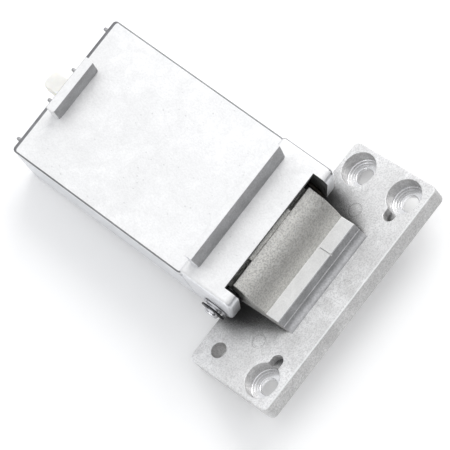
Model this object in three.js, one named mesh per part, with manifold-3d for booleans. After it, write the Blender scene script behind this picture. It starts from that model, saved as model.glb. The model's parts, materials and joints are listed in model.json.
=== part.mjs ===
// Spring-loaded counterbalance hinge unit, millimetres, +Z up.
// The pivot pin lies along X. The case runs back from it along +Y, and the mounting
// leaf reaches forward along -Y and swings up about the pin. Every piece is made with
// the pin's axis through the origin, then moved so that the centre of the leaf's
// underside is the origin.
import * as THREE from 'three';
import { mergeVertices, toCreasedNormals } from 'three/addons/utils/BufferGeometryUtils.js';
import Module from 'manifold-3d';

const wasm = await Module();
wasm.setup();
const { Manifold, Mesh: ManifoldMesh } = wasm;

const DEG = Math.PI / 180;
const ORIGIN_SHIFT = [0.2, 15.907, 6.003];

// ---- case and cover
const CASE_HALF = 21.0;
const CASE_REAR = 63.0;
const CASE_BOTTOM = -5.5;
const COVER_TOP = 14.34;
const COVER_THICK = 2.0;
const FIT_GAP = 0.3;
const WALL_SIDE = 2.6;
const WALL_REAR = 2.5;
const FLOOR_THICK = 2.0;
const BLOCK_TOP = 18.14;
const BLOCK_FRONT = -4.2;
const SEAM_Y = 7.7;
const EAR_OUT = 20.77;
const EAR_IN = 17.6;
const EAR_ROUND = 5.1;
const EAR_LEAN = 10.75 * DEG;
const EAR_TOP_ROUND = 2.2;
const EAR_BORE = 3.3;
const KNUCKLE_ROOM_TOP = 14.6;
const HOOD_LIP = 1.0;
const LONG_RIB = { x: [-17.6, 17.3], back: 6.6, front: 4.65, base: 3.95, height: 6.7 };
const SHORT_RIB = { x: [-7.95, 8.2], back: 60.4, front: 57.95, base: 57.8, height: 5.8 };
const FLOOR_FRONT = 11.2;

// ---- leaf, in its own frame: w outward from the pin, n along its normal
const LEAF_ANGLE = 21.25 * DEG;
const LEAF_MID = -0.2;
const LEAF_HALF = 34.7;
const LEAF_INNER = -1.7;
const LEAF_OUTER = 27.0;
const LEAF_TOP = -6.06;
const LEAF_THICK = 5.3;
const LEAF_CORNER = 1.6;
const LAND_TOP = -1.8;
const LAND_INNER = 12.6;
const LAND_OUTER = 17.0;
const HOLE_OFFSET = 28.7;
const HOLE_W = [4.3, 20.5];
const CBORE_R = 4.75;
const CBORE_DEPTH = 3.9;
const SCREW_R = 2.25;
const PLAIN_R = 2.1;
const POCKET_R = 1.7;
const POCKET_REACH = 5.9;
const POCKET_DEPTH = 2.4;

// ---- knuckle and cam
const KNUCKLE_X = [-15.4, 15.3];
const KNUCKLE_R = 12.4;
const KNUCKLE_END = 73.5 * DEG;
const HUB_R = 5.2;
const LEAF_BORE = 3.5;
const CAM_X = [-7.7, 7.8];
const CAM_R0 = 10.0;
const CAM_RISE = 5.0;
const FOLLOWER_R = 3.0;

// ---- pin and its fittings
const PIN_R = 2.0;
const PIN_END = -23.6;
const PIN_HEAD = 21.9;
const GROOVE_R = 1.5;
const WASHER_X = [-21.6, -21.1];
const CLIP_X = [-22.5, -22.1];

// ---- slider, springs, tail
const SLIDER_HALF = 17.9;
const SLIDER_Y = [11.5, 27.0];
const SLIDER_Z = [-3.2, 11.7];
const SPRING_X = 11.2;
const SPRING_Z = 4.2;
const POCKET_FLOOR = 18.0;
const SPRING_Y = [18.3, 55.9];
const TAIL_X = 0.05;
const TAIL_Z = 6.5;
const TAIL_HALF = 2.7;
const TAIL_THICK = 3.2;
const TAIL_END = 70.2;
const TAIL_CORNER = 1.9;
const PLATE_Y = [57.7, 59.9];
const RIVET_X = [18.1, 4.9, -4.9, -17.4];
const RIVET_Z = 10.5;
const RIVET_REACH = 2.4;
const RIVET_R = 0.5;
const RIVET_SHANK_R = 0.65;

const FINISH = {
  cast: { color: 0xd9dadd, roughness: 0.55, metalness: 0.75 },
  castDark: { color: 0xbdbcb8, roughness: 0.6, metalness: 0.75 },
  steel: { color: 0xb8bcc2, roughness: 0.25, metalness: 0.95 },
  black: { color: 0x1c1d20, roughness: 0.5, metalness: 0.2 },
  brass: { color: 0x4a443c, roughness: 0.35, metalness: 0.9 },
  spring: { color: 0x8f949c, roughness: 0.3, metalness: 0.95 },
  acetal: { color: 0x1d1d1f, roughness: 0.45, metalness: 0.0 },
  nylon: { color: 0xefead2, roughness: 0.4, metalness: 0.0 },
};

function solid(geometry) {
  const bare = geometry.clone();
  for (const key of Object.keys(bare.attributes)) {
    if (key !== 'position') bare.deleteAttribute(key);
  }
  const merged = mergeVertices(bare, 1e-4);
  const mesh = new ManifoldMesh({
    numProp: 3,
    vertProperties: new Float32Array(merged.attributes.position.array),
    triVerts: new Uint32Array(merged.index.array),
  });
  mesh.merge();
  return new Manifold(mesh);
}

function node(name, body, finish) {
  const raw = body.getMesh();
  const geometry = new THREE.BufferGeometry();
  const points = [];
  for (let i = 0; i < raw.vertProperties.length; i += raw.numProp) {
    points.push(raw.vertProperties[i], raw.vertProperties[i + 1], raw.vertProperties[i + 2]);
  }
  geometry.setAttribute('position', new THREE.Float32BufferAttribute(points, 3));
  geometry.setIndex(Array.from(raw.triVerts));
  const mesh = new THREE.Mesh(
    toCreasedNormals(geometry, 30 * DEG),
    new THREE.MeshStandardMaterial(FINISH[finish]),
  );
  mesh.name = name;
  return mesh;
}

function box(x, y, z) {
  const geometry = new THREE.BoxGeometry(x[1] - x[0], y[1] - y[0], z[1] - z[0]);
  geometry.translate((x[0] + x[1]) / 2, (y[0] + y[1]) / 2, (z[0] + z[1]) / 2);
  return solid(geometry);
}

// Points are [y, z]; the prism runs along X.
function prismX(points, x) {
  const shape = new THREE.Shape(points.map(([a, b]) => new THREE.Vector2(a, b)));
  const geometry = new THREE.ExtrudeGeometry(shape, { depth: x[1] - x[0], bevelEnabled: false });
  const basis = new THREE.Matrix4().makeBasis(
    new THREE.Vector3(0, 1, 0),
    new THREE.Vector3(0, 0, 1),
    new THREE.Vector3(1, 0, 0),
  );
  geometry.applyMatrix4(basis);
  geometry.translate(x[0], 0, 0);
  return solid(geometry);
}

// Turned bodies: the profile is [radius, distance along the axis].
function turned(profile, axis, at, sides = 32) {
  const points = profile.map(([r, h]) => new THREE.Vector2(r, h));
  const geometry = new THREE.LatheGeometry(points, sides);
  if (axis === 'x') geometry.rotateZ(-Math.PI / 2);
  if (axis === 'z') geometry.rotateX(Math.PI / 2);
  geometry.translate(at[0], at[1], at[2]);
  return solid(geometry);
}

function rod(radius, axis, from, to, at, sides = 32) {
  return turned([[0, from], [radius, from], [radius, to], [0, to]], axis, at, sides);
}

function ring(inner, outer, axis, from, to, at, sides = 32) {
  const profile = [[inner, from], [outer, from], [outer, to], [inner, to], [inner, from]];
  return turned(profile, axis, at, sides);
}

function roundedPlate(x, y, z, radius) {
  const shape = new THREE.Shape();
  shape.moveTo(x[0] + radius, y[0]);
  shape.lineTo(x[1] - radius, y[0]);
  shape.absarc(x[1] - radius, y[0] + radius, radius, -Math.PI / 2, 0);
  shape.lineTo(x[1], y[1] - radius);
  shape.absarc(x[1] - radius, y[1] - radius, radius, 0, Math.PI / 2);
  shape.lineTo(x[0] + radius, y[1]);
  shape.absarc(x[0] + radius, y[1] - radius, radius, Math.PI / 2, Math.PI);
  shape.lineTo(x[0], y[0] + radius);
  shape.absarc(x[0] + radius, y[0] + radius, radius, Math.PI, 1.5 * Math.PI);
  const geometry = new THREE.ExtrudeGeometry(shape, {
    depth: z[1] - z[0],
    bevelEnabled: false,
    curveSegments: 5,
  });
  geometry.translate(0, 0, z[0]);
  return solid(geometry);
}

function arc(radius, from, to, steps) {
  const points = [];
  for (let i = 0; i <= steps; i += 1) {
    const t = from + ((to - from) * i) / steps;
    points.push([radius * Math.cos(t), radius * Math.sin(t)]);
  }
  return points;
}

// Side outline of the case walls. The ear is round about the pin, and its front edge
// leans forward so that it lies along the leaf when the leaf is closed.
function earOutline() {
  const lean = EAR_LEAN;
  const points = [[20, CASE_BOTTOM], [3.0, CASE_BOTTOM]];
  for (const [a, b] of arc(EAR_ROUND, -100 * DEG, -180 * DEG + lean, 8)) points.push([a, b]);
  const frontAt = (z) => -(EAR_ROUND + z * Math.sin(lean)) / Math.cos(lean);
  const r = EAR_TOP_ROUND;
  const cz = BLOCK_TOP - r;
  const cy = frontAt(cz) + r / Math.cos(lean);
  for (let i = 0; i <= 5; i += 1) {
    const t = 180 * DEG + lean - (i * (90 * DEG + lean)) / 5;
    points.push([cy + r * Math.cos(t), cz + r * Math.sin(t)]);
  }
  points.push([SEAM_Y, BLOCK_TOP], [SEAM_Y, 12.0], [20, 12.0]);
  return points;
}

function ribOutline(rib, foot) {
  return [
    [rib.base, foot - 0.6],
    [rib.back, foot - 0.6],
    [rib.back, foot + rib.height],
    [rib.front, foot + rib.height],
    [rib.base, foot],
  ];
}

function makeCase() {
  const wallTop = COVER_TOP - COVER_THICK - FIT_GAP;
  let body = box([-CASE_HALF, CASE_HALF], [SEAM_Y, CASE_REAR], [CASE_BOTTOM, wallTop]);
  body = body.add(prismX(earOutline(), [-EAR_OUT, EAR_OUT]));
  body = body.subtract(box(
    [-EAR_IN, EAR_IN],
    [-20, SEAM_Y - 1.2],
    [-20, KNUCKLE_ROOM_TOP],
  ));
  body = body.subtract(prismX([
    [-20, KNUCKLE_ROOM_TOP - 1],
    [1.2, KNUCKLE_ROOM_TOP - 1],
    [1.2, KNUCKLE_ROOM_TOP],
    [-3.0, BLOCK_TOP - HOOD_LIP],
    [-20, BLOCK_TOP - HOOD_LIP],
  ], [-EAR_IN, EAR_IN]));
  body = body.subtract(box([-EAR_IN, EAR_IN], [-20, BLOCK_FRONT], [-20, 40]));
  const inner = CASE_HALF - WALL_SIDE;
  body = body.subtract(box(
    [-inner, inner],
    [SEAM_Y + 1.5, CASE_REAR - WALL_REAR],
    [CASE_BOTTOM + FLOOR_THICK, 30],
  ));
  body = body.subtract(box([-EAR_IN, EAR_IN], [0, 12], [CASE_BOTTOM + FLOOR_THICK, wallTop - 0.5]));
  body = body.subtract(box([-EAR_IN, EAR_IN], [-20, FLOOR_FRONT], [-20, 0]));
  body = body.add(prismX(ribOutline(LONG_RIB, BLOCK_TOP), LONG_RIB.x));
  body = body.subtract(rod(EAR_BORE, 'x', -30, 30, [0, 0, 0]));
  body = body.subtract(box(
    [TAIL_X - TAIL_HALF - 0.4, TAIL_X + TAIL_HALF + 0.4],
    [55, 70],
    [TAIL_Z - TAIL_THICK / 2 - 0.4, TAIL_Z + TAIL_THICK / 2 + 0.4],
  ));
  for (const x of RIVET_X) {
    body = body.subtract(rod(RIVET_SHANK_R + FIT_GAP, 'y', CASE_REAR - 1.9, CASE_REAR + 1, [x, 0, RIVET_Z], 16));
  }
  return node('case', body, 'cast');
}

function makeCover() {
  const low = COVER_TOP - COVER_THICK;
  let body = box([-CASE_HALF, CASE_HALF], [SEAM_Y + FIT_GAP, CASE_REAR - 0.9], [low, COVER_TOP]);
  const round = [[CASE_REAR - 1.2, low], [CASE_REAR, low], [CASE_REAR, COVER_TOP - 1.0]];
  round.push([CASE_REAR - 0.3, COVER_TOP - 0.3], [CASE_REAR - 1.2, COVER_TOP]);
  body = body.add(prismX(round, [-CASE_HALF, CASE_HALF]));
  body = body.add(prismX(ribOutline(SHORT_RIB, COVER_TOP), SHORT_RIB.x));
  return node('cover', body, 'cast');
}

// Cam outline in the case's section plane as [-y, z] polar points, leaf at rest.
function camOutline() {
  const points = arc(KNUCKLE_R, 55 * DEG, 106 * DEG, 8);
  for (let a = 112; a <= 190; a += 6) {
    const t = a * DEG;
    const r = CAM_R0 + CAM_RISE * (Math.PI - t);
    const size = Math.hypot(r, CAM_RISE);
    const off = FOLLOWER_R + FIT_GAP;
    const nr = r / size;
    const nt = CAM_RISE / size;
    const x = r * Math.cos(t) - off * (nr * Math.cos(t) - nt * Math.sin(t));
    const z = r * Math.sin(t) - off * (nr * Math.sin(t) + nt * Math.cos(t));
    points.push([x, z]);
  }
  points.push([-3.5, -3.5], [0, 0]);
  return points.map(([u, z]) => [-u, z]);
}

function leafHole(x, w, radius, depth) {
  return rod(radius, 'z', LEAF_TOP - depth, LEAF_TOP + 3, [x, -w, 0]);
}

function leafPocket(x, w, towards) {
  const end = x + towards * POCKET_REACH;
  const lane = box(
    [Math.min(x, end), Math.max(x, end)],
    [-w - POCKET_R, -w + POCKET_R],
    [LEAF_TOP - POCKET_DEPTH, LEAF_TOP + 3],
  );
  return lane.add(leafHole(end, w, POCKET_R, POCKET_DEPTH));
}

function makeLeaf() {
  const x0 = LEAF_MID - LEAF_HALF;
  const x1 = LEAF_MID + LEAF_HALF;
  const low = LEAF_TOP - LEAF_THICK;
  let body = roundedPlate([x0, x1], [-LEAF_OUTER, -LEAF_INNER], [low, LEAF_TOP], LEAF_CORNER);
  const web = [
    [-LEAF_INNER, LEAF_TOP - 1],
    [-LEAF_INNER, -3.2],
    [0, 0],
  ];
  const rise = KNUCKLE_END - LEAF_ANGLE;
  const start = Math.asin(LAND_TOP / KNUCKLE_R);
  for (const [w, n] of arc(KNUCKLE_R, rise, start, 14)) web.push([-w, n]);
  web.push([-LAND_INNER, LAND_TOP], [-LAND_OUTER, LAND_TOP], [-LAND_OUTER - 0.25, -4.6]);
  web.push([-LAND_OUTER - 0.9, -5.6], [-LAND_OUTER - 2.2, LEAF_TOP]);
  web.push([-LAND_OUTER - 2.2, LEAF_TOP - 1]);
  body = body.add(prismX(web, KNUCKLE_X));
  body = body.add(rod(HUB_R, 'x', KNUCKLE_X[0], KNUCKLE_X[1], [0, 0, 0], 40));
  for (const side of [-1, 1]) {
    const x = LEAF_MID + side * HOLE_OFFSET;
    const plain = side < 0;
    body = body.subtract(leafHole(x, HOLE_W[0], plain ? PLAIN_R : SCREW_R, LEAF_THICK + 3));
    body = body.subtract(leafHole(x, HOLE_W[1], SCREW_R, LEAF_THICK + 3));
    if (!plain) body = body.subtract(leafHole(x, HOLE_W[0], CBORE_R, CBORE_DEPTH));
    body = body.subtract(leafHole(x, HOLE_W[1], CBORE_R, CBORE_DEPTH));
    body = body.subtract(leafPocket(x, HOLE_W[1], -side));
  }
  body = body.rotate([-LEAF_ANGLE / DEG, 0, 0]);
  body = body.add(prismX(camOutline(), CAM_X));
  body = body.subtract(rod(LEAF_BORE, 'x', -30, 30, [0, 0, 0]));
  return node('leaf', body, 'castDark');
}

function makePin() {
  const profile = [
    [0, PIN_END],
    [1.1, PIN_END + 0.12],
    [1.7, PIN_END + 0.45],
    [PIN_R - 0.1, PIN_END + 0.6],
    [PIN_R - 0.1, CLIP_X[0] - 0.1],
    [GROOVE_R, CLIP_X[0] - 0.1],
    [GROOVE_R, CLIP_X[1] + 0.1],
    [PIN_R, CLIP_X[1] + 0.1],
    [PIN_R, PIN_HEAD - 0.8],
    [3.2, PIN_HEAD - 0.8],
    [3.2, PIN_HEAD - 0.2],
    [2.9, PIN_HEAD],
    [0, PIN_HEAD],
  ];
  return node('pivot_pin', turned(profile, 'x', [0, 0, 0]), 'steel');
}

function makeWasher() {
  return node('pin_washer', ring(2.3, 3.6, 'x', ...WASHER_X, [0, 0, 0]), 'steel');
}

function makeClip() {
  let body = ring(GROOVE_R + 0.3, 3.4, 'x', ...CLIP_X, [0, 0, 0]);
  body = body.subtract(box([-24, -20], [-4, 0], [-1.2, 1.2]));
  return node('retaining_clip', body, 'black');
}

function makeEarBush(name, side) {
  const sleeve = ring(PIN_R + 0.3, EAR_BORE - 0.3, 'x', 17.0, 20.5, [0, 0, 0]);
  let body = sleeve.add(ring(PIN_R + 0.3, 4.4, 'x', 16.7, 17.3, [0, 0, 0]));
  if (side < 0) body = body.rotate([0, 180, 0]);
  return node(name, body, 'brass');
}

function makeLeafBush(name, x) {
  return node(name, ring(PIN_R + 0.3, LEAF_BORE - 0.3, 'x', x[0], x[1], [0, 0, 0]), 'brass');
}

function makeSpacer(name, x) {
  return node(name, ring(PIN_R + 0.3, 4.4, 'x', x[0], x[1], [0, 0, 0]), 'acetal');
}

function makeSlider() {
  let body = box([-SLIDER_HALF, SLIDER_HALF], SLIDER_Y, SLIDER_Z);
  const mid = (CAM_X[0] + CAM_X[1]) / 2;
  body = body.add(box([mid - 7.6, mid + 7.6], [10.3, SLIDER_Y[0] + 1], [SLIDER_Z[0], 4.4]));
  body = body.subtract(rod(FOLLOWER_R + 0.3, 'x', -30, 30, [0, CAM_R0, 0]));
  for (const side of [-1, 1]) {
    const at = [side * SPRING_X, 0, SPRING_Z];
    body = body.subtract(rod(6.2, 'y', POCKET_FLOOR, 40, at));
  }
  body = body.subtract(box(
    [TAIL_X - TAIL_HALF - 0.3, TAIL_X + TAIL_HALF + 0.3],
    [19.7, 40],
    [TAIL_Z - TAIL_THICK / 2 - 0.3, TAIL_Z + TAIL_THICK / 2 + 0.3],
  ));
  return node('slider', body, 'acetal');
}

function makeFollower() {
  const mid = (CAM_X[0] + CAM_X[1]) / 2;
  const body = rod(FOLLOWER_R, 'x', mid - 7.4, mid + 7.4, [0, CAM_R0, 0]);
  return node('cam_follower', body, 'steel');
}

function makeTail() {
  const x0 = TAIL_X - TAIL_HALF;
  const x1 = TAIL_X + TAIL_HALF;
  const z = [TAIL_Z - TAIL_THICK / 2, TAIL_Z + TAIL_THICK / 2];
  return node('tail_rod', roundedPlate([x0, x1], [20.0, TAIL_END], z, TAIL_CORNER), 'nylon');
}

function makeSpring(name, x, meanR, wireR, turns) {
  const length = SPRING_Y[1] - SPRING_Y[0] - 2 * wireR;
  const dead = 2 * wireR * 1.08;
  const rise = (t) => {
    if (t < 1) return dead * t;
    if (t > turns - 1) return length - dead * (turns - t);
    return dead + ((length - 2 * dead) * (t - 1)) / (turns - 2);
  };
  const points = [];
  const steps = 12;
  for (let i = 0; i <= turns * steps; i += 1) {
    const t = i / steps;
    const a = t * 2 * Math.PI;
    points.push(new THREE.Vector3(
      x + meanR * Math.cos(a),
      SPRING_Y[0] + wireR + rise(t),
      SPRING_Z + meanR * Math.sin(a),
    ));
  }
  const path = new THREE.CatmullRomCurve3(points);
  const section = new THREE.Shape();
  for (let k = 0; k < 6; k += 1) {
    const a = (k * Math.PI) / 3;
    const px = wireR * Math.cos(a);
    const py = wireR * Math.sin(a);
    if (k === 0) section.moveTo(px, py);
    else section.lineTo(px, py);
  }
  const geometry = new THREE.ExtrudeGeometry(section, {
    steps: turns * steps,
    extrudePath: path,
    bevelEnabled: false,
  });
  return node(name, solid(geometry), 'spring');
}

function makeGuide(name, x) {
  const profile = [
    [0, 24.2],
    [1.6, 24.2],
    [PIN_R, 24.7],
    [PIN_R, 56.2],
    [5.9, 56.2],
    [5.9, 57.4],
    [PIN_R, 57.4],
    [PIN_R, 59.6],
    [0, 59.6],
  ];
  return node(name, turned(profile, 'y', [x, 0, SPRING_Z], 24), 'steel');
}

function makeEndPlate() {
  let body = box([-SLIDER_HALF, SLIDER_HALF], PLATE_Y, SLIDER_Z);
  for (const side of [-1, 1]) {
    body = body.subtract(rod(PIN_R + 0.3, 'y', 50, 70, [side * SPRING_X, 0, SPRING_Z], 24));
  }
  body = body.subtract(box(
    [TAIL_X - TAIL_HALF - 0.4, TAIL_X + TAIL_HALF + 0.4],
    [50, 70],
    [TAIL_Z - TAIL_THICK / 2 - 0.4, TAIL_Z + TAIL_THICK / 2 + 0.4],
  ));
  return node('end_plate', body, 'steel');
}

function makeRivet(name, x) {
  const y = CASE_REAR;
  const profile = [
    [0, y - 1.6],
    [RIVET_SHANK_R, y - 1.6],
    [RIVET_SHANK_R, y + 0.3],
    [RIVET_R, y + 0.4],
    [RIVET_R, y + RIVET_REACH - 0.3],
    [RIVET_R / 2, y + RIVET_REACH],
    [0, y + RIVET_REACH],
  ];
  return node(name, turned(profile, 'y', [x, 0, RIVET_Z], 16), 'castDark');
}

const unit = new THREE.Group();
unit.name = 'counterbalance_hinge';
unit.add(makeCase());
unit.add(makeCover());
unit.add(makeLeaf());
unit.add(makePin());
unit.add(makeWasher());
unit.add(makeClip());
unit.add(makeEarBush('ear_bush_left', -1));
unit.add(makeEarBush('ear_bush_right', 1));
unit.add(makeLeafBush('leaf_bush_left', [-15.1, -5.1]));
unit.add(makeLeafBush('leaf_bush_right', [5.0, 15.0]));
unit.add(makeSpacer('spacer_left', [-16.4, -15.7]));
unit.add(makeSpacer('spacer_right', [15.6, 16.4]));
unit.add(makeSlider());
unit.add(makeFollower());
unit.add(makeTail());
unit.add(makeSpring('spring_outer_left', -SPRING_X, 4.9, 0.75, 9));
unit.add(makeSpring('spring_outer_right', SPRING_X, 4.9, 0.75, 9));
unit.add(makeSpring('spring_inner_left', -SPRING_X, 3.15, 0.45, 12));
unit.add(makeSpring('spring_inner_right', SPRING_X, 3.15, 0.45, 12));
unit.add(makeGuide('guide_rod_left', -SPRING_X));
unit.add(makeGuide('guide_rod_right', SPRING_X));
unit.add(makeEndPlate());
RIVET_X.forEach((x, i) => unit.add(makeRivet(`end_rivet_${i + 1}`, x)));

for (const mesh of unit.children) mesh.geometry.translate(...ORIGIN_SHIFT);

export default unit;
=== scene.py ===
# Looks for the sprung counterbalance hinge unit: cast case and cover, cast leaf, pin, springs.
# Pieces are drawn in millimetres about the pin's axis, then placed in the row frame.
import json
import math

import bmesh
import bpy
from mathutils import Matrix, Vector


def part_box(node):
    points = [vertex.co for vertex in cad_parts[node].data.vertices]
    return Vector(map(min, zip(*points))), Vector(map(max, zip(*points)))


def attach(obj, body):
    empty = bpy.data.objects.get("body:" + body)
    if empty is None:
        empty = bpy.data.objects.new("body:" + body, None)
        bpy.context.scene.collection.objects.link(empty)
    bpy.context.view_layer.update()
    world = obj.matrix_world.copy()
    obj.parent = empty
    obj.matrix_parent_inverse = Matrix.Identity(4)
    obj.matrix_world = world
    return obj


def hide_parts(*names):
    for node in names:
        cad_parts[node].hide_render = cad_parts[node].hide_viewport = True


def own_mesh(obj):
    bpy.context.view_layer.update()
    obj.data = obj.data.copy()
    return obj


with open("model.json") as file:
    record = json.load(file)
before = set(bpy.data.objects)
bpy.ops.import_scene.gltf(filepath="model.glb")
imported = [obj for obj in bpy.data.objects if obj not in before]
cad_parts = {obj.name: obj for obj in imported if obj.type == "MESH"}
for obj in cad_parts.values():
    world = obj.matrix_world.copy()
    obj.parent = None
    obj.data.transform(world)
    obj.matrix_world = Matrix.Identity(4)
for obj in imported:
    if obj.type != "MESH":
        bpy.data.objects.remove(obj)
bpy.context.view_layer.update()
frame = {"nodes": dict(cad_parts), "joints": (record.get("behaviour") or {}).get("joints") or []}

MM = 0.001
JOINTS = {j["name"]: j for j in frame["joints"]}
PIN = Vector(JOINTS["leaf_pivot"]["pos_m"])
FROM_PIN = Matrix.Translation(PIN) @ Matrix.Scale(MM, 4)


def span(node, axis):
    """Low and high ends of a CAD node along one axis, in millimetres from the pin."""
    low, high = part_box(node)
    return (low[axis] - PIN[axis]) / MM, (high[axis] - PIN[axis]) / MM


X, Y, Z = 0, 1, 2

# ---- driving sizes, in millimetres from the pin's axis
COVER_LOW, _ = span("cover", Z)
COVER_FRONT, CASE_REAR = span("cover", Y)
CASE_HALF = span("cover", X)[1]
CASE_BOTTOM = span("case", Z)[0]
COVER_THICK = 2.0
COVER_TOP = COVER_LOW + COVER_THICK
COVER_EDGE = 0.4
COVER_REAR_EDGE = 1.25
COVER_CORNER = 1.1
SEAM_Y = 7.7
BLOCK_TOP = COVER_TOP + 3.8
BLOCK_FRONT = -4.2
EAR_OUT = 20.77
EAR_FACE = CASE_HALF - 0.06
EAR_IN = 17.6
EAR_ROUND = 5.1
EAR_LEAN = math.radians(10.75)
EAR_TOP_ROUND = 2.2
EAR_BORE = 3.3
EAR_EDGE = 0.9
CASE_EDGE = 0.42
FLOOR_FRONT = 11.2
WALL_SIDE = 2.6
WALL_REAR = 2.5
FLOOR_THICK = 2.0
ROOM_TOP = 14.6
HOOD_LIP = 1.0
LONG_RIB = {"x": (-17.6, 17.3), "back": 6.6, "front": 4.65, "base": 3.95, "height": 6.7}
SHORT_RIB = {"x": (-7.95, 8.2), "back": 60.4, "front": 57.95, "base": 57.8, "height": 5.8}

LEAF_ANGLE = math.radians(21.25)
LEAF_X = span("leaf", X)
LEAF_MID = sum(LEAF_X) / 2
LEAF_INNER = -1.7
LEAF_OUTER = 27.0
LEAF_TOP = -6.06
LEAF_THICK = 5.3
LEAF_CORNER = 1.6
LAND_TOP = -1.8
LAND_INNER = 12.6
LAND_OUTER = 17.0
HOLE_OFFSET = 28.7
HOLE_NEAR, HOLE_FAR = 4.3, 20.5
CBORE_R = 4.75
CBORE_DEPTH = 3.9
SCREW_R = 2.25
PLAIN_R = 2.1
POCKET_R = 1.7
POCKET_REACH = 5.9
POCKET_DEPTH = 2.4
SEATS = [(LEAF_MID + side * HOLE_OFFSET, w) for side, w in ((-1, HOLE_FAR), (1, HOLE_FAR), (1, HOLE_NEAR))]
EJECTOR_MARKS = ((-21.4, 12.5), (1.5, 23.2), (19.1, 11.2))
LAND_LINE_X = (5.6, 5.9)
LEAF_EDGE = 0.35
LEAF_BREAK = 0.25
SEAT_RINGS = ((3.9, 0.3, 0.12), (3.1, 0.2, 0.08))  # radius, width, depth
EJECTOR_RING = (2.0, 0.35, 0.05)

KNUCKLE_X = (-15.4, 15.3)
KNUCKLE_R = 12.4
KNUCKLE_END = math.radians(73.5)
HUB_R = 5.2
LEAF_BORE = 3.5
CAM_X = (-7.7, 7.8)
CAM_R0 = 10.0
CAM_RISE = 5.0
FOLLOWER_R = 3.0
CAM_GAP = 0.3

TAIL_Z = span("tail_rod", Z)
TAIL_GAP = 0.4
RIVET_SEAT_R = 0.95
FOOT_MARK_X = (-12.5, 12.5)
FOOT_MARK_Y = (18.0, 52.0)
FOOT_MARK_R = 2.6
UNDER_RECESS = ((-7, 7), (24, 46), 2.0)
RIVETS = [n for n in sorted(frame["nodes"]) if n.startswith("end_rivet")]
PAIR = ("_left", "_right")
SINGLE = ("",)


# ---- mesh helpers
def wrap(name, bm):
    bmesh.ops.recalc_face_normals(bm, faces=bm.faces)
    mesh = bpy.data.meshes.new(name)
    bm.to_mesh(mesh)
    bm.free()
    obj = bpy.data.objects.new(name, mesh)
    bpy.context.scene.collection.objects.link(obj)
    return obj


def extrude(outline, low, high, axis):
    """A closed outline swept along X (outline is y, z) or along Z (outline is x, y)."""
    bm = bmesh.new()
    rows = []
    for level in (low, high):
        if axis == X:
            rows.append([bm.verts.new((level, a, b)) for a, b in outline])
        else:
            rows.append([bm.verts.new((a, b, level)) for a, b in outline])
    bm.faces.new(rows[0])
    bm.faces.new(rows[1])
    count = len(outline)
    for i in range(count):
        j = (i + 1) % count
        bm.faces.new((rows[0][i], rows[0][j], rows[1][j], rows[1][i]))
    return wrap("prism", bm)


def block(x, y, z):
    return extrude([(x[0], y[0]), (x[1], y[0]), (x[1], y[1]), (x[0], y[1])], z[0], z[1], Z)


def turned(profile, axis, at, steps=64):
    """A lathed solid. The profile is (radius, distance along the axis), closed on the axis or on itself."""
    bm = bmesh.new()
    rings = []
    for r, h in profile:
        if r < 1e-6:
            rings.append([bm.verts.new((0, 0, h))])
            continue
        ring = []
        for i in range(steps):
            t = 2 * math.pi * i / steps
            ring.append(bm.verts.new((r * math.cos(t), r * math.sin(t), h)))
        rings.append(ring)
    closed = profile[0][0] > 1e-6
    pairs = list(zip(rings, rings[1:] + ([rings[0]] if closed else [])))
    for a, b in pairs:
        for i in range(steps):
            j = (i + 1) % steps
            if len(a) == 1:
                bm.faces.new((a[0], b[i], b[j]))
            elif len(b) == 1:
                bm.faces.new((a[i], a[j], b[0]))
            else:
                bm.faces.new((a[i], a[j], b[j], b[i]))
    if axis == X:
        turn = Matrix.Rotation(math.pi / 2, 4, "Y")
    elif axis == Y:
        turn = Matrix.Rotation(-math.pi / 2, 4, "X")
    else:
        turn = Matrix.Identity(4)
    bmesh.ops.transform(bm, matrix=Matrix.Translation(at) @ turn, verts=bm.verts)
    return wrap("turned", bm)


def rod(radius, axis, low, high, at=(0, 0, 0), steps=64):
    return turned([(0, low), (radius, low), (radius, high), (0, high)], axis, at, steps)


def arc(radius, start, end, steps, centre=(0.0, 0.0)):
    points = []
    for i in range(steps + 1):
        t = start + (end - start) * i / steps
        points.append((centre[0] + radius * math.cos(t), centre[1] + radius * math.sin(t)))
    return points


def rounded_rectangle(x, y, r, steps=8):
    quarter = math.pi / 2
    corners = ((x[1] - r, y[0] + r), (x[1] - r, y[1] - r), (x[0] + r, y[1] - r), (x[0] + r, y[0] + r))
    points = []
    for i, centre in enumerate(corners):
        points += arc(r, (i - 1) * quarter, i * quarter, steps, centre)
    return points


def plate(x, y, z, corner, edge, rear=None, steps=6):
    """A flat body with rounded plan corners and a rounded top edge, which may be wider along +Y."""
    rear = edge if rear is None else rear
    levels = [(0.0, z[0])]
    levels += [(1 - math.cos(t), z[1] - edge + edge * math.sin(t)) for t in
               [math.pi / 2 * i / steps for i in range(steps + 1)]]
    bm = bmesh.new()
    rows = []
    for inset, height in levels:
        side, back = edge * inset, rear * inset
        outline = rounded_rectangle((x[0] + side, x[1] - side), (y[0] + side, y[1] - back), corner - side, 6)
        rows.append([bm.verts.new((px, py, height)) for px, py in outline])
    bm.faces.new(rows[0][::-1])
    bm.faces.new(rows[-1])
    for low, high in zip(rows, rows[1:]):
        for i in range(len(low)):
            j = (i + 1) % len(low)
            bm.faces.new((low[i], low[j], high[j], high[i]))
    return wrap("plate", bm)


def baked(obj):
    """Applies every modifier on obj."""
    view = bpy.context.evaluated_depsgraph_get()
    mesh = bpy.data.meshes.new_from_object(obj.evaluated_get(view))
    obj.modifiers.clear()
    obj.data = mesh
    return obj


def combine(obj, tool, operation):
    mod = obj.modifiers.new("combine", "BOOLEAN")
    mod.operation = operation
    mod.object = tool
    mod.solver = "MANIFOLD"
    baked(obj)
    bpy.data.objects.remove(tool)
    return obj


def add(obj, *tools):
    for tool in tools:
        combine(obj, tool, "UNION")
    return obj


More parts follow.
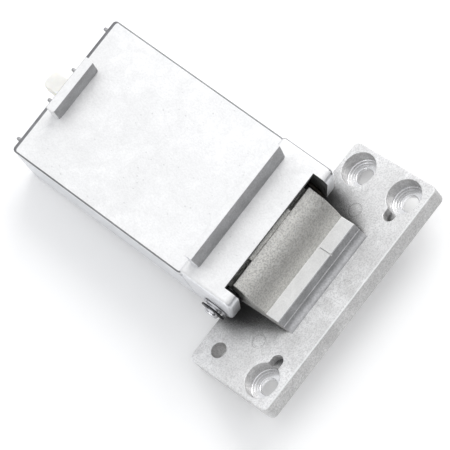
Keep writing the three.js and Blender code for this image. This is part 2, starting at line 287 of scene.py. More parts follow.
def cut(obj, *tools):
    for tool in tools:
        combine(obj, tool, "DIFFERENCE")
    return obj


def soften(obj, width, segments=3, angle=28, clamp=True):
    """Rounds the edges that turn more than angle degrees, as a casting or a deburred edge is."""
    bm = bmesh.new()
    bm.from_mesh(obj.data)
    bmesh.ops.remove_doubles(bm, verts=bm.verts, dist=1e-3)
    bmesh.ops.dissolve_degenerate(bm, edges=bm.edges, dist=1e-3)
    bmesh.ops.dissolve_limit(bm, angle_limit=math.radians(0.5), verts=bm.verts, edges=bm.edges)
    bm.to_mesh(obj.data)
    bm.free()
    mod = obj.modifiers.new("soften", "BEVEL")
    mod.width = width
    mod.segments = segments
    mod.limit_method = "ANGLE"
    mod.angle_limit = math.radians(angle)
    mod.miter_outer = "MITER_ARC"
    mod.use_clamp_overlap = clamp
    baked(obj)
    return obj


def smooth(obj, angle=35):
    obj.data.shade_smooth()
    obj.data.set_sharp_from_angle(angle=math.radians(angle))
    mod = obj.modifiers.new("weight", "WEIGHTED_NORMAL")
    mod.keep_sharp = True
    baked(obj)
    return obj


def paint(obj, materials, choose=None):
    """Gives the piece its materials; choose(centre, normal) picks one for each face."""
    obj.data.materials.clear()
    for material in materials:
        obj.data.materials.append(material)
    for face in obj.data.polygons:
        face.material_index = choose(face.center, face.normal) if choose else 0
    return obj


def finish_piece(obj, name, body, materials, slot, *nodes):
    """Names the piece, moves it to the row frame and lets it ride on its body."""
    obj.name = name
    obj.data.name = name
    obj.data.transform(FROM_PIN)
    if materials:
        paint(obj, materials)
    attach(obj, body)
    if nodes:
        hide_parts(*nodes)
    return obj


# ---- materials
class Shader:
    """A small wrapper for building a node material."""

    def __init__(self, name):
        self.material = bpy.data.materials.new(name)
        self.material.use_nodes = True
        self.nodes = self.material.node_tree.nodes
        self.links = self.material.node_tree.links
        self.bsdf = self.nodes["Principled BSDF"]
        self.where = self.nodes.new("ShaderNodeTexCoord").outputs["Object"]

    def noise(self, scale, detail=3.0, rough=0.55, distortion=0.0, where=None):
        node = self.nodes.new("ShaderNodeTexNoise")
        node.inputs["Scale"].default_value = scale
        node.inputs["Detail"].default_value = detail
        node.inputs["Roughness"].default_value = rough
        node.inputs["Distortion"].default_value = distortion
        self.links.new(where or self.where, node.inputs["Vector"])
        return node.outputs["Fac"]

    def cells(self, scale, feature="F1", randomness=1.0):
        node = self.nodes.new("ShaderNodeTexVoronoi")
        node.feature = feature
        node.inputs["Scale"].default_value = scale
        node.inputs["Randomness"].default_value = randomness
        self.links.new(self.where, node.inputs["Vector"])
        return node.outputs["Distance"]

    def ramp(self, value, low, high, dark=0.0, light=1.0):
        node = self.nodes.new("ShaderNodeMapRange")
        node.interpolation_type = "SMOOTHSTEP"
        node.inputs["From Min"].default_value = low
        node.inputs["From Max"].default_value = high
        node.inputs["To Min"].default_value = dark
        node.inputs["To Max"].default_value = light
        self.links.new(value, node.inputs["Value"])
        return node.outputs["Result"]

    def math(self, kind, a, b):
        node = self.nodes.new("ShaderNodeMath")
        node.operation = kind
        for socket, value in zip(node.inputs, (a, b)):
            if isinstance(value, (int, float)):
                socket.default_value = value
            else:
                self.links.new(value, socket)
        return node.outputs[0]

    def mix(self, factor, a, b, kind="MIX"):
        node = self.nodes.new("ShaderNodeMix")
        node.data_type = "RGBA"
        node.blend_type = kind
        sockets = [s for s in node.inputs if s.type == "RGBA"]
        factor_socket = node.inputs[0]
        if isinstance(factor, (int, float)):
            factor_socket.default_value = factor
        else:
            self.links.new(factor, factor_socket)
        for socket, value in zip(sockets, (a, b)):
            if isinstance(value, tuple):
                socket.default_value = (*value, 1.0)
            else:
                self.links.new(value, socket)
        return next(s for s in node.outputs if s.type == "RGBA")

    def hollow(self, reach):
        """Low where the surface is closed in by others; drives painted shade in corners and gaps."""
        node = self.nodes.new("ShaderNodeAmbientOcclusion")
        node.samples = 8
        node.inputs["Distance"].default_value = reach * MM
        return node.outputs["AO"]

    def along_y(self):
        node = self.nodes.new("ShaderNodeSeparateXYZ")
        self.links.new(self.where, node.inputs[0])
        return node.outputs["Y"]

    def set(self, name, value):
        socket = self.bsdf.inputs[name]
        if isinstance(value, tuple):
            socket.default_value = (*value, 1.0)
        elif isinstance(value, (int, float)):
            socket.default_value = value
        else:
            self.links.new(value, socket)

    def bump(self, *layers):
        """Each layer is (height, depth in millimetres)."""
        normal = None
        for height, depth in layers:
            node = self.nodes.new("ShaderNodeBump")
            node.inputs["Strength"].default_value = 1.0
            node.inputs["Distance"].default_value = depth * MM
            self.links.new(height, node.inputs["Height"])
            if normal is not None:
                self.links.new(normal, node.inputs["Normal"])
            normal = node.outputs["Normal"]
        self.links.new(normal, self.bsdf.inputs["Normal"])


def per_mm(size):
    """Noise scale whose features are about size millimetres."""
    return 1.0 / (size * MM)


# how far the painted corner shade looks for closing surfaces, and the y band of painted shade, in
# millimetres
CORNER_SHADE_REACH = 16.0
SHADE_BAND = (5.5, 11.0)


def cast_metal(name, light, dark, blotch, grain, grain_size, metallic, rough, corner_shade=0.0, shade=0.0):
    """Die-cast skin: broad stains, cloudy mottling, crisp grain, a few pits, with optional painted shade
    where closed in and a painted shade band along y.
    """
    s = Shader(name)
    broad = s.noise(per_mm(13), 2.0)
    cloudy = s.noise(per_mm(3.6), 5.0, 0.65, 0.6)
    fine = s.noise(per_mm(grain_size), 2.0, 0.6)
    speck = s.noise(per_mm(grain_size * 2.2), 3.0, 0.7)
    pits = s.cells(per_mm(2.1))
    pit_mask = s.math("MULTIPLY", s.ramp(pits, 0.07, 0.15, 1.0, 0.0), s.ramp(broad, 0.45, 0.55))
    body = s.mix(s.ramp(cloudy, 0.36, 0.64, 0.0, blotch), light, dark)
    body = s.mix(s.ramp(broad, 0.4, 0.62, 0.0, blotch), body, dark)
    body = s.mix(s.ramp(fine, 0.36, 0.6, grain, 0.0), body, tuple(0.5 * c for c in dark))
    body = s.mix(s.ramp(speck, 0.52, 0.72, 0.0, grain), body, tuple(min(0.95, 1.18 * c) for c in light))
    body = s.mix(s.math("MULTIPLY", pit_mask, 0.22), body, tuple(0.4 * c for c in dark))
    # painted shade: darker where other surfaces close this one in, as between the ear and the knuckle
    if corner_shade:
        body = s.mix(s.ramp(s.hollow(CORNER_SHADE_REACH), 0.46, 0.74, corner_shade, 0.0), body, (0.035, 0.035, 0.035))
    # painted shade: a darker band along the object's y, across the knuckle's lower part
    if shade:
        near, far = SHADE_BAND
        band = s.ramp(s.along_y(), near * MM, far * MM, shade, 0.0)
        body = s.mix(band, body, tuple(0.35 * c for c in dark))
    s.set("Base Color", body)
    s.set("Metallic", metallic)
    s.set("Roughness", s.ramp(speck, 0.3, 0.7, rough - 0.08, rough + 0.1))
    s.bump(
        (cloudy, 0.06),
        (speck, 0.02 + 0.12 * grain),
        (fine, 0.012 + 0.11 * grain),
        (s.ramp(pits, 0.0, 0.12), 0.03),
    )
    return s.material


def machined_metal(name, color, rough, ring=0.12):
    s = Shader(name)
    lines = s.noise(per_mm(ring), 2.0, 0.5)
    smear = s.noise(per_mm(1.6), 3.0)
    s.set("Base Color", s.mix(s.ramp(smear, 0.3, 0.7, 0.0, 0.35), color, tuple(0.8 * c for c in color)))
    s.set("Metallic", 1.0)
    s.set("Roughness", s.ramp(smear, 0.3, 0.7, rough, rough + 0.12))
    s.bump((lines, 0.004))
    return s.material


def moulded(name, color, rough, scatter):
    s = Shader(name)
    cloud = s.noise(per_mm(3.0), 3.0)
    fine = s.noise(per_mm(0.35), 2.0)
    s.set("Base Color", s.mix(s.ramp(cloud, 0.3, 0.7), color, tuple(0.93 * c for c in color)))
    s.set("Roughness", s.ramp(fine, 0.3, 0.7, rough - 0.06, rough + 0.08))
    s.set("Subsurface Weight", scatter)
    s.bsdf.inputs["Subsurface Radius"].default_value = (1.0, 0.9, 0.7)
    s.bsdf.inputs["Subsurface Scale"].default_value = 1.2 * MM
    s.bump((fine, 0.006), (cloud, 0.02))
    return s.material


# name, light and dark tones, blotch, grain, grain size, metallic, roughness, then painted corner shade and
# painted shade band
CASE_CAST = cast_metal("cast_case", (0.83, 0.835, 0.85), (0.72, 0.73, 0.75), 0.6, 0.09, 0.5, 0.75, 0.4)
COVER_CAST = cast_metal("cast_cover", (0.89, 0.89, 0.89), (0.80, 0.80, 0.80), 0.55, 0.09, 0.5, 0.45, 0.5)
# darker copy of the cast skin for walls that face away from the light: painted shade
SHADED_WALL_CAST = cast_metal("cast_wall_painted_shade", (0.50, 0.50, 0.51), (0.36, 0.36, 0.365), 0.6, 0.3, 0.45, 0.7, 0.5)
# near-black copy of the cast skin for the faces inside the room: painted shade
SHADED_INNER_CAST = cast_metal("cast_inner_painted_shade", (0.13, 0.13, 0.13), (0.06, 0.06, 0.06), 0.6, 0.2, 0.45, 0.5, 0.5)
# darker copy of the cast skin for the leaf's sides and counterbore walls: painted shade
SHADED_SIDE_CAST = cast_metal("cast_side_painted_shade", (0.78, 0.775, 0.77), (0.58, 0.575, 0.57), 0.6, 0.4, 0.4, 0.65, 0.5)
# brighter copy of the cast skin for the land top and the leaf's outer top edge: painted light
LIT_LAND_CAST = cast_metal("cast_land_painted_light", (0.97, 0.97, 0.965), (0.86, 0.86, 0.855), 0.5, 0.1, 0.45, 0.4, 0.5)
# dark copy of the cast skin for rounded edges: painted shade
SHADED_EDGE_CAST = cast_metal("cast_edge_painted_shade", (0.28, 0.28, 0.29), (0.18, 0.18, 0.185), 0.6, 0.2, 0.45, 0.6, 0.5)
# the leaf carries painted shade where it is closed in
LEAF_CAST = cast_metal(
    "cast_leaf", (0.98, 0.98, 0.98), (0.76, 0.755, 0.75),
    0.65, 0.36, 0.4, 0.45, 0.42, 0.96,
)
# the knuckle carries a painted shade band along y
KNUCKLE_CAST = cast_metal(
    "cast_knuckle", (0.96, 0.945, 0.90), (0.80, 0.785, 0.745),
    0.5, 0.55, 0.42, 0.7, 0.46, 0.0, 0.38,
)
MACHINED = machined_metal("machined_seat", (0.86, 0.86, 0.87), 0.2)
STEEL = machined_metal("bright_steel", (0.68, 0.68, 0.7), 0.16)
SPRING_WIRE = machined_metal("oiled_wire", (0.4, 0.41, 0.43), 0.28)
# the bushes are near-black: painted shade for the dark gaps between the ears and the knuckle
SHADED_BUSH_METAL = machined_metal("sintered_bush_painted_shade", (0.07, 0.06, 0.05), 0.45, 0.3)
ACETAL = moulded("black_acetal", (0.02, 0.02, 0.022), 0.42, 0.0)
NYLON = moulded("cream_nylon", (0.87, 0.865, 0.83), 0.34, 0.7)


def blackened():
    s = Shader("black_oxide")
    cloud = s.noise(per_mm(0.8), 3.0)
    s.set("Base Color", s.mix(s.ramp(cloud, 0.3, 0.7), (0.012, 0.012, 0.014), (0.03, 0.03, 0.034)))
    s.set("Metallic", 0.6)
    s.set("Roughness", s.ramp(cloud, 0.3, 0.7, 0.28, 0.45))
    s.bump((cloud, 0.006))
    return s.material


BLACK = blackened()


# ---- case
def rib(size, foot):
    """A locating rib with rounded ends in plan and a drafted front wall."""
    outline = [
        (size["base"], foot - 0.6),
        (size["back"], foot - 0.6),
        (size["back"], foot + size["height"]),
        (size["front"], foot + size["height"]),
        (size["base"], foot),
    ]
    body = extrude(outline, size["x"][0] - 1, size["x"][1] + 1, X)
    plan = rounded_rectangle(size["x"], (size["base"], size["back"] + 1.2), 0.9, 6)
    combine(body, extrude(plan, foot - 2, foot + size["height"] + 1, Z), "INTERSECT")
    return soften(body, 0.25, 3)


def ear_outline():
    lean = EAR_LEAN
    points = [(20, CASE_BOTTOM), (3.0, CASE_BOTTOM)]
    points += arc(EAR_ROUND, math.radians(-104), -math.pi + lean, 16)

    def front_at(z):
        return -(EAR_ROUND + z * math.sin(lean)) / math.cos(lean)

    cz = BLOCK_TOP - EAR_TOP_ROUND
    cy = front_at(cz) + EAR_TOP_ROUND / math.cos(lean)
    points += arc(EAR_TOP_ROUND, math.pi + lean, math.pi / 2, 10, (cy, cz))
    points += [(SEAM_Y, BLOCK_TOP), (SEAM_Y, 12.0), (20, 12.0)]
    return points


def make_case():
    wall_top = COVER_LOW - 0.3
    shell = rounded_rectangle((-CASE_HALF, CASE_HALF), (SEAM_Y - 6, CASE_REAR), 1.2, 6)
    body = extrude(shell, CASE_BOTTOM, wall_top, Z)
    cut(body, block((-30, 30), (-10, SEAM_Y), (-20, 20)))
    lip = BLOCK_TOP - HOOD_LIP
    hood = [(-20, ROOM_TOP - 1), (1.2, ROOM_TOP - 1), (1.2, ROOM_TOP), (-3.0, lip), (-20, lip)]
    add(body, soften(extrude(ear_outline(), -EAR_FACE, EAR_FACE, X), EAR_EDGE, 6, clamp=False))
    cut(
        body,
        block((-EAR_IN, EAR_IN), (-20, SEAM_Y - 1.2), (-20, ROOM_TOP)),
        extrude(hood, -EAR_IN, EAR_IN, X),
        block((-EAR_IN, EAR_IN), (-20, BLOCK_FRONT), (-20, 40)),
    )
    inner = CASE_HALF - WALL_SIDE
    hollow = rounded_rectangle((-inner, inner), (SEAM_Y + 1.5, CASE_REAR - WALL_REAR), 1.0, 4)
    cut(
        body,
        extrude(hollow, CASE_BOTTOM + FLOOR_THICK, 30, Z),
        block((-EAR_IN, EAR_IN), (0, 12), (CASE_BOTTOM + FLOOR_THICK, wall_top - 0.5)),
        block((-EAR_IN, EAR_IN), (-20, FLOOR_FRONT), (-20, 0)),
        rod(EAR_BORE, X, -30, 30),
    )
    x0, x1 = span("tail_rod", X)
    cut(
        body,
        block((x0 - TAIL_GAP, x1 + TAIL_GAP), (55, 70), (TAIL_Z[0] - TAIL_GAP, TAIL_Z[1] + TAIL_GAP)),
    )
    soften(body, CASE_EDGE, 3)
    for name in RIVETS:
        x = sum(span(name, X)) / 2
        z = sum(span(name, Z)) / 2
        cut(body, rod(RIVET_SEAT_R, Y, CASE_REAR - 1.9, CASE_REAR + 1, (x, 0, z), 32))
    for x in FOOT_MARK_X:
        for y in FOOT_MARK_Y:
            cut(body, rod(FOOT_MARK_R, Z, CASE_BOTTOM - 1, CASE_BOTTOM + 0.18, (x, y, 0), 48))
    cut(body, extrude(rounded_rectangle(*UNDER_RECESS, 6), CASE_BOTTOM - 1, CASE_BOTTOM + 0.3, Z))
    add(body, rib(LONG_RIB, BLOCK_TOP))
    smooth(body)
    paint(body, [CASE_CAST, SHADED_WALL_CAST, SHADED_EDGE_CAST, SHADED_INNER_CAST, COVER_CAST], paint_case)
    return finish_piece(body, "case_casting", "housing", [], "cast_alloy", "case")


def paint_case(at, normal):
    # the long rib's front wall, facing -y, takes the darker wall copy: painted shade
    if at.z > BLOCK_TOP + 0.1 and normal.y < -0.7:
        return 1
    # faces inside the room under the hood take the near-black copy: painted shade
    if abs(at.x) < EAR_IN + 0.15 and at.y < SEAM_Y - 1 and at.z < BLOCK_TOP - 0.3:
        return 3
    # the ear's rounded outer top edge takes the dark edge copy: painted shade
    outer_edge = at.x > EAR_OUT - 1.0 and at.z > BLOCK_TOP - 1.0
    if outer_edge and 0.2 < normal.z < 0.75:
        return 2
    # the block's top faces take the brighter cover copy while the sides keep the case tone: painted light
    return 4 if at.z > BLOCK_TOP - 0.5 and normal.z > 0.75 else 0


def make_cover():
    body = plate(
        (-CASE_HALF, CASE_HALF), (COVER_FRONT, CASE_REAR), (COVER_LOW, COVER_TOP),
        COVER_CORNER, COVER_EDGE, COVER_REAR_EDGE,
    )
    add(body, rib(SHORT_RIB, COVER_TOP))
    smooth(body)
    paint(body, [COVER_CAST, SHADED_WALL_CAST, SHADED_EDGE_CAST], paint_cover)
    return finish_piece(body, "cover_casting", "housing", [], "cast_alloy", "cover")


def paint_cover(at, normal):
    # the short rib's front wall, facing -y, takes the darker wall copy: painted shade
    if at.z > COVER_TOP + 0.1:
        return 1 if normal.y < -0.7 else 0
    # the rounded edges, darkest along the rear, take the dark edge copy: painted shade
    return 2 if 0.15 < normal.z < 0.997 and at.z > COVER_TOP - 1.2 else 0


# ---- leaf
def knuckle_outline():
    """Barrel, land and its wall, in the leaf's own frame (y = -w, z = n)."""
    rise = KNUCKLE_END - LEAF_ANGLE
    start = math.asin(LAND_TOP / KNUCKLE_R)
    points = [(-LEAF_INNER, LEAF_TOP - 1), (-LEAF_INNER, -3.2), (0, 0)]
    points += [(-w, n) for w, n in arc(KNUCKLE_R, rise, start, 40)]
    points += [(-LAND_INNER, LAND_TOP), (-LAND_OUTER, LAND_TOP), (-LAND_OUTER - 0.2, LEAF_TOP + 1.9)]
    fillet = arc(1.9, math.pi, 1.5 * math.pi, 8, (LAND_OUTER + 0.25 + 1.9, LEAF_TOP + 1.9))
    points += [(-w, n) for w, n in fillet]
    points += [(-LAND_OUTER - 2.15, LEAF_TOP - 1)]
    return points


def cam_outline():
    points = [(11.2 * math.cos(KNUCKLE_END - 0.06), 11.2 * math.sin(KNUCKLE_END - 0.06))]
    points += arc(KNUCKLE_R, KNUCKLE_END, math.radians(106), 24)
    off = FOLLOWER_R + CAM_GAP
    for a in range(112, 191, 3):
        t = math.radians(a)
        r = CAM_R0 + CAM_RISE * (math.pi - t)
        size = math.hypot(r, CAM_RISE)
        nr, nt = r / size, CAM_RISE / size
        u = r * math.cos(t) - off * (nr * math.cos(t) - nt * math.sin(t))
        v = r * math.sin(t) - off * (nr * math.sin(t) + nt * math.cos(t))
        points.append((u, v))
    points += [(-3.5, -3.5), (0, 0)]
    return [(-u, v) for u, v in points]


def leaf_hole(x, w, radius, depth, steps=56):
    return rod(radius, Z, LEAF_TOP - depth, LEAF_TOP + 3, (x, -w, 0), steps)


def leaf_pocket(x, w, towards):
    end = x + towards * POCKET_REACH
    lane = block(
        (min(x, end), max(x, end)),
        (-w - POCKET_R, -w + POCKET_R),
        (LEAF_TOP - POCKET_DEPTH, LEAF_TOP + 3),
    )
    return add(lane, leaf_hole(end, w, POCKET_R, POCKET_DEPTH, 40))


def make_leaf():
    low = LEAF_TOP - LEAF_THICK
    body = plate(LEAF_X, (-LEAF_OUTER, -LEAF_INNER), (low, LEAF_TOP), LEAF_CORNER, LEAF_EDGE)
    add(body, extrude(knuckle_outline(), KNUCKLE_X[0], KNUCKLE_X[1], X))
    add(body, rod(HUB_R, X, KNUCKLE_X[0], KNUCKLE_X[1], steps=96))
    for side in (-1, 1):
        x = LEAF_MID + side * HOLE_OFFSET
        plain = side < 0
        cut(body, leaf_hole(x, HOLE_NEAR, PLAIN_R if plain else SCREW_R, LEAF_THICK + 3))
        cut(body, leaf_hole(x, HOLE_FAR, SCREW_R, LEAF_THICK + 3))
        if not plain:
            cut(body, leaf_hole(x, HOLE_NEAR, CBORE_R, CBORE_DEPTH, 80))
        cut(body, leaf_hole(x, HOLE_FAR, CBORE_R, CBORE_DEPTH, 80))
        cut(body, leaf_pocket(x, HOLE_FAR, -side))
    soften(body, LEAF_BREAK, 3, clamp=False)
    for x, w in EJECTOR_MARKS:
        radius, width, depth = EJECTOR_RING
        cut(body, ring_tool(x, w, radius, width, LEAF_TOP, depth))
    for x, w in SEATS:
        for radius, width, depth in SEAT_RINGS:
            cut(body, ring_tool(x, w, radius, width, LEAF_TOP - CBORE_DEPTH, depth))
    cut(body, block(LAND_LINE_X, (-LAND_OUTER - 0.4, -LAND_INNER - 0.3), (LAND_TOP - 0.35, LAND_TOP + 1)))
    body.data.transform(Matrix.Rotation(-LEAF_ANGLE, 4, "X"))
    add(body, extrude(cam_outline(), CAM_X[0], CAM_X[1], X))
    cut(body, rod(LEAF_BORE, X, -30, 30, steps=72))
    smooth(body)
    paint(body, [LEAF_CAST, KNUCKLE_CAST, MACHINED, SHADED_WALL_CAST, LIT_LAND_CAST, SHADED_SIDE_CAST], paint_leaf)
    return finish_piece(body, "leaf_casting", "leaf", [], "grainy_cast", "leaf")


def ring_tool(x, w, radius, width, z, depth):
    """A shallow round line: an ejector pin's witness, or a turning mark in a seat."""
    profile = [(radius - width, z - depth), (radius, z - depth), (radius, z + 1), (radius - width, z + 1)]
    return turned(profile, Z, (x, -w, 0), 64)


def paint_leaf(at, normal):
    """Cast skin on the plate, coarser skin on the knuckle, bright metal in the seats; darker copies on the
    land's wall, the counterbore walls and the other sides are painted shade, a brighter copy on the land top
    and the outer top edge is painted light.
    """
    to_leaf = Matrix.Rotation(LEAF_ANGLE, 3, "X")
    p, facing = to_leaf @ at, to_leaf @ normal
    w, n = -p.y, p.z
    beside = KNUCKLE_X[0] - 0.2 < p.x < KNUCKLE_X[1] + 0.2
    if beside and w < LAND_INNER and math.hypot(w, n) < KNUCKLE_R + 0.1 and n > LEAF_TOP + 0.3:
        return 1
    # the land's wall and its fillet, facing -y, take the darker wall copy: painted shade that also dulls the
    # fillet's highlight
    if beside and LAND_OUTER - 0.3 < w < LAND_OUTER + 2.5 and -facing.y > 0.04:
        return 3
    # the outer top edge takes the bright land copy: painted highlight
    if w > LEAF_OUTER - 0.6 and 0.2 < facing.z < 0.95:
        return 4
    # the land top takes the bright land copy: painted light
    if beside and LAND_INNER - 0.2 < w < LAND_OUTER + 0.3 and facing.z > 0.4 and n > LAND_TOP - 0.5:
        return 4
    below_top = LEAF_TOP - LEAF_THICK + 0.4 < n < LEAF_TOP - 0.2
    if below_top and w < LEAF_OUTER - 1 and abs(p.x) > KNUCKLE_X[1] + 1:
        for x, at_w in SEATS:
            if math.hypot(p.x - x, w - at_w) < CBORE_R + 0.1:
                # counterbore walls take the darker side copy: painted shade
                return 2 if n < LEAF_TOP - CBORE_DEPTH + 0.4 else 5
    # faces that do not face up take the darker side copy: painted shade
    return 0 if facing.z > 0.5 else 5


# ---- pin and its fittings
def make_pin():
    low, high = span("pivot_pin", X)
    r, dome = 2.0, 0.7
    clip_low, clip_high = span("retaining_clip", X)
    profile = [(0, low)]
    profile += [(r - dome + dome * math.sin(t), low + dome - dome * math.cos(t)) for t in
                [math.pi / 2 * i / 8 for i in range(9)]]
    profile += [(r, clip_low - 0.12), (1.5, clip_low - 0.1), (1.5, clip_high + 0.1), (r, clip_high + 0.12)]
    head = 3.2
    profile += [(r, high - 0.8), (head - 0.15, high - 0.8), (head, high - 0.65), (head, high - 0.25)]
    profile += [(head - 0.3, high), (0, high)]
    body = smooth(turned(profile, X, (0, 0, 0), 64), 40)
    return finish_piece(body, "pivot_pin_turned", "housing", [STEEL], "steel", "pivot_pin")


def make_washer():
    low, high = span("pin_washer", X)
    body = turned([(2.3, low), (3.6, low), (3.6, high), (2.3, high)], X, (0, 0, 0), 72)
    smooth(soften(body, 0.1, 2), 40)
    return finish_piece(body, "pin_washer_stamped", "housing", [STEEL], "steel", "pin_washer")


def make_clip():
    low, high = span("retaining_clip", X)
    body = turned([(2.35, low), (3.4, low), (3.4, high), (2.35, high)], X, (0, 0, 0), 72)
    for angle in (90, 210, 330):
        t = math.radians(angle)
        prong = extrude([(-0.55, 1.8), (0.55, 1.8), (0.7, 2.6), (-0.7, 2.6)], low, high, X)
        prong.data.transform(Matrix.Rotation(t - math.pi / 2, 4, "X"))
        add(body, prong)
    cut(body, block((low - 1, high + 1), (-0.95, 0.95), (-4, -1.9)))
    body.data.transform(Matrix.Rotation(math.radians(-90), 4, "X"))
    smooth(soften(body, 0.07, 2), 40)
    return finish_piece(body, "retaining_clip_stamped", "housing", [BLACK], "blackened", "retaining_clip")


def make_tail():
    x = span("tail_rod", X)
    y = span("tail_rod", Y)
    body = extrude(rounded_rectangle(x, y, 1.9, 10), TAIL_Z[0], TAIL_Z[1], Z)
    soften(body, 0.55, 4)
    smooth(body, 50)
    return finish_piece(body, "tail_tongue", "slider", [NYLON], "nylon", "tail_rod")


def make_spring(node):
    """Round wire with closed, ground-looking end coils, in the place of the CAD spring."""
    x0, x1 = span(node, X)
    y0, y1 = span(node, Y)
    wire = 0.75 if "outer" in node else 0.45
    turns = 9 if "outer" in node else 12
    mean = (x1 - x0) / 2 - wire
    centre = (x0 + x1) / 2
    z_mid = sum(span(node, Z)) / 2
    length = y1 - y0 - 2 * wire
    dead = 2 * wire * 1.08
    bm = bmesh.new()
    previous = first = None
    per_turn, sides = 28, 12
    for i in range(turns * per_turn + 1):
        t = i / per_turn
        if t < 1:
            rise = dead * t
        elif t > turns - 1:
            rise = length - dead * (turns - t)
        else:
            rise = dead + (length - 2 * dead) * (t - 1) / (turns - 2)
        a = 2 * math.pi * t
        out = Vector((math.cos(a), 0, math.sin(a)))
        place = Vector((centre, y0 + wire + rise, z_mid)) + mean * out
        ring = []
        for k in range(sides):
            b = 2 * math.pi * k / sides
            ring.append(bm.verts.new(place + wire * (math.cos(b) * out + math.sin(b) * Vector((0, 1, 0)))))
        if previous:
            for k in range(sides):
                j = (k + 1) % sides
                bm.faces.new((previous[k], previous[j], ring[j], ring[k]))
        else:
            first = ring
        previous = ring
    bm.faces.new(first)
    bm.faces.new(previous)
    body = smooth(wrap(node, bm), 50)
    finish_piece(body, node + "_wire", "housing", [SPRING_WIRE], "spring_steel", node)
    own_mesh(body)
    return body


def refine(node, body, material, slot, width):
    """The CAD shape with its edges deburred."""
    bm = bmesh.new()
    bm.from_mesh(frame["nodes"][node].data)
    bmesh.ops.transform(bm, matrix=FROM_PIN.inverted(), verts=bm.verts)
    bmesh.ops.remove_doubles(bm, verts=bm.verts, dist=2e-3)
    obj = wrap(node, bm)
    smooth(soften(obj, width, 2), 40)
    return finish_piece(obj, node + "_refined", body, [material], slot, node)


def make_rivet(node):
    x = sum(span(node, X)) / 2
    y0, y1 = span(node, Y)
    z = sum(span(node, Z)) / 2
    tip, shank = 0.5, 0.65
    profile = [(0, y0), (shank, y0), (shank, CASE_REAR + 0.3), (tip, CASE_REAR + 0.4), (tip, y1 - tip)]
    profile += [(tip * math.cos(t), y1 - tip + tip * math.sin(t)) for t in (0.4, 0.8, 1.2)]
    profile += [(0, y1)]
    body = smooth(turned(profile, Y, (x, 0, z), 32), 40)
    # the rivets take the darker wall copy of the cast skin
    return finish_piece(body, node + "_staked", "housing", [SHADED_WALL_CAST], "grainy_cast", node)


make_case()
make_cover()
make_leaf()
make_pin()
make_washer()
make_clip()
make_tail()
for size in ("outer", "inner"):
    for side in PAIR:
        make_spring("spring_" + size + side)
for name in RIVETS:
    make_rivet(name)
for stem, sides, body, material, slot, width in (
    ("ear_bush", PAIR, "housing", SHADED_BUSH_METAL, "bush_metal", 0.1),
    ("leaf_bush", PAIR, "leaf", SHADED_BUSH_METAL, "bush_metal", 0.1),
    ("spacer", PAIR, "housing", ACETAL, "acetal", 0.1),
    ("slider", SINGLE, "slider", ACETAL, "acetal", 0.35),
    ("cam_follower", SINGLE, "slider", STEEL, "steel", 0.25),
    ("guide_rod", PAIR, "housing", STEEL, "steel", 0.12),
    ("end_plate", SINGLE, "housing", STEEL, "steel", 0.2),
):
    for side in sides:
        refine(stem + side, body, material, slot, width)


# ---- floor: the unit rests on the leaf's inner lower edge and the case's rear lower edge
def make_floor():
    t = LEAF_ANGLE
    low = LEAF_TOP - LEAF_THICK
    front = Vector((
        0,
        -LEAF_INNER * math.cos(t) + low * math.sin(t),
        LEAF_INNER * math.sin(t) + low * math.cos(t),
    ))
    rear = Vector((0, CASE_REAR, CASE_BOTTOM))
    slope = math.atan2(rear.z - front.z, rear.y - front.y)
    bm = bmesh.new()
    bmesh.ops.create_grid(bm, x_segments=1, y_segments=1, size=1500)
    drop = 0.05
    place = Matrix.Translation(front + Vector((0, 0, -drop))) @ Matrix.Rotation(slope, 4, "X")
    bmesh.ops.transform(bm, matrix=FROM_PIN @ place, verts=bm.verts)
    floor = wrap("floor", bm)
    s = Shader("pale_floor")
    tone = s.noise(per_mm(220), 2.0)
    s.set("Base Color", s.mix(s.ramp(tone, 0.3, 0.7), (0.93, 0.93, 0.93), (0.95, 0.95, 0.95)))
    s.set("Roughness", 0.7)
    s.set("Specular IOR Level", 0.2)
    s.set("Emission Color", (1.0, 1.0, 1.0))
    s.set("Emission Strength", 0.13)
    floor.data.materials.append(s.material)
    return floor


make_floor()


# ---- lights
def softbox(name, at, aim, size, power, color=(1, 1, 1)):
    data = bpy.data.lights.new(name, "AREA")
    data.shape = "RECTANGLE"
    data.size, data.size_y = size
    data.energy = power
    data.color = color
    lamp = bpy.data.objects.new(name, data)
    bpy.context.scene.collection.objects.link(lamp)
    lamp.location = at
    lamp.rotation_euler = (Vector(aim) - Vector(at)).to_track_quat("-Z", "Y").to_euler()
    return lamp


CENTRE = Vector((0.0, 0.03, 0.01))
SKY_AXIS = Vector((0.2, 0.22, 0.95))
SKY_LOW, SKY_HIGH = 0.10, 1.06
softbox("key", CENTRE + Vector((0.57, 0.12, 0.62)), CENTRE, (0.5, 0.5), 2.9, (1.0, 0.995, 0.985))
softbox("left_fill", CENTRE + Vector((-0.7, -0.02, 0.14)), CENTRE, (0.5, 0.25), 1.2, (0.97, 0.98, 1.0))


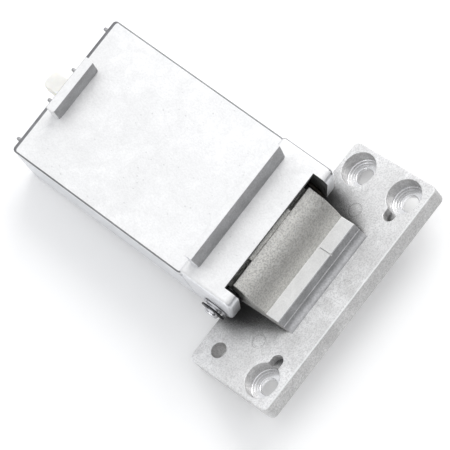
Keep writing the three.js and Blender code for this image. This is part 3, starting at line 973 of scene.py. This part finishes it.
def make_sky():
    """A bright ceiling that falls away to a dim horizon, leaning a little to the back."""
    world = bpy.data.worlds.new("studio")
    bpy.context.scene.world = world
    world.use_nodes = True
    nodes, links = world.node_tree.nodes, world.node_tree.links
    direction = nodes.new("ShaderNodeTexCoord").outputs["Generated"]
    dot = nodes.new("ShaderNodeVectorMath")
    dot.operation = "DOT_PRODUCT"
    links.new(direction, dot.inputs[0])
    dot.inputs[1].default_value = SKY_AXIS.normalized()
    ramp = nodes.new("ShaderNodeMapRange")
    ramp.interpolation_type = "SMOOTHSTEP"
    ramp.inputs["From Min"].default_value = 0.1
    ramp.inputs["From Max"].default_value = 0.85
    ramp.inputs["To Min"].default_value = SKY_LOW
    ramp.inputs["To Max"].default_value = SKY_HIGH
    links.new(dot.outputs["Value"], ramp.inputs["Value"])
    links.new(ramp.outputs["Result"], nodes["Background"].inputs["Strength"])
    nodes["Background"].inputs["Color"].default_value = (0.97, 0.98, 1.0, 1.0)


make_sky()

# ---- camera: above the leaf's left end, turned so that the pin runs up to the right
CAMERA_AIM = Vector((-0.00455, 0.02266, 0.020))
CAMERA_DISTANCE = 0.61234
CAMERA_AZIMUTH = math.radians(-19.36)
CAMERA_ELEVATION = math.radians(71.35)
CAMERA_ROLL = math.radians(33.66)
CAMERA_LENS = 200.7


def make_camera():
    back = Vector((
        math.sin(CAMERA_AZIMUTH) * math.cos(CAMERA_ELEVATION),
        -math.cos(CAMERA_AZIMUTH) * math.cos(CAMERA_ELEVATION),
        math.sin(CAMERA_ELEVATION),
    ))
    data = bpy.data.cameras.new("camera")
    data.lens = CAMERA_LENS
    data.sensor_width = 36.0
    data.clip_start, data.clip_end = 0.05, 20.0
    camera = bpy.data.objects.new("camera", data)
    bpy.context.scene.collection.objects.link(camera)
    facing = back.to_track_quat("Z", "Y").to_matrix().to_4x4()
    place = Matrix.Translation(CAMERA_AIM + CAMERA_DISTANCE * back)
    camera.matrix_world = place @ facing @ Matrix.Rotation(-CAMERA_ROLL, 4, "Z")
    bpy.context.scene.camera = camera


make_camera()
bpy.context.scene.view_settings.view_transform = "Standard"
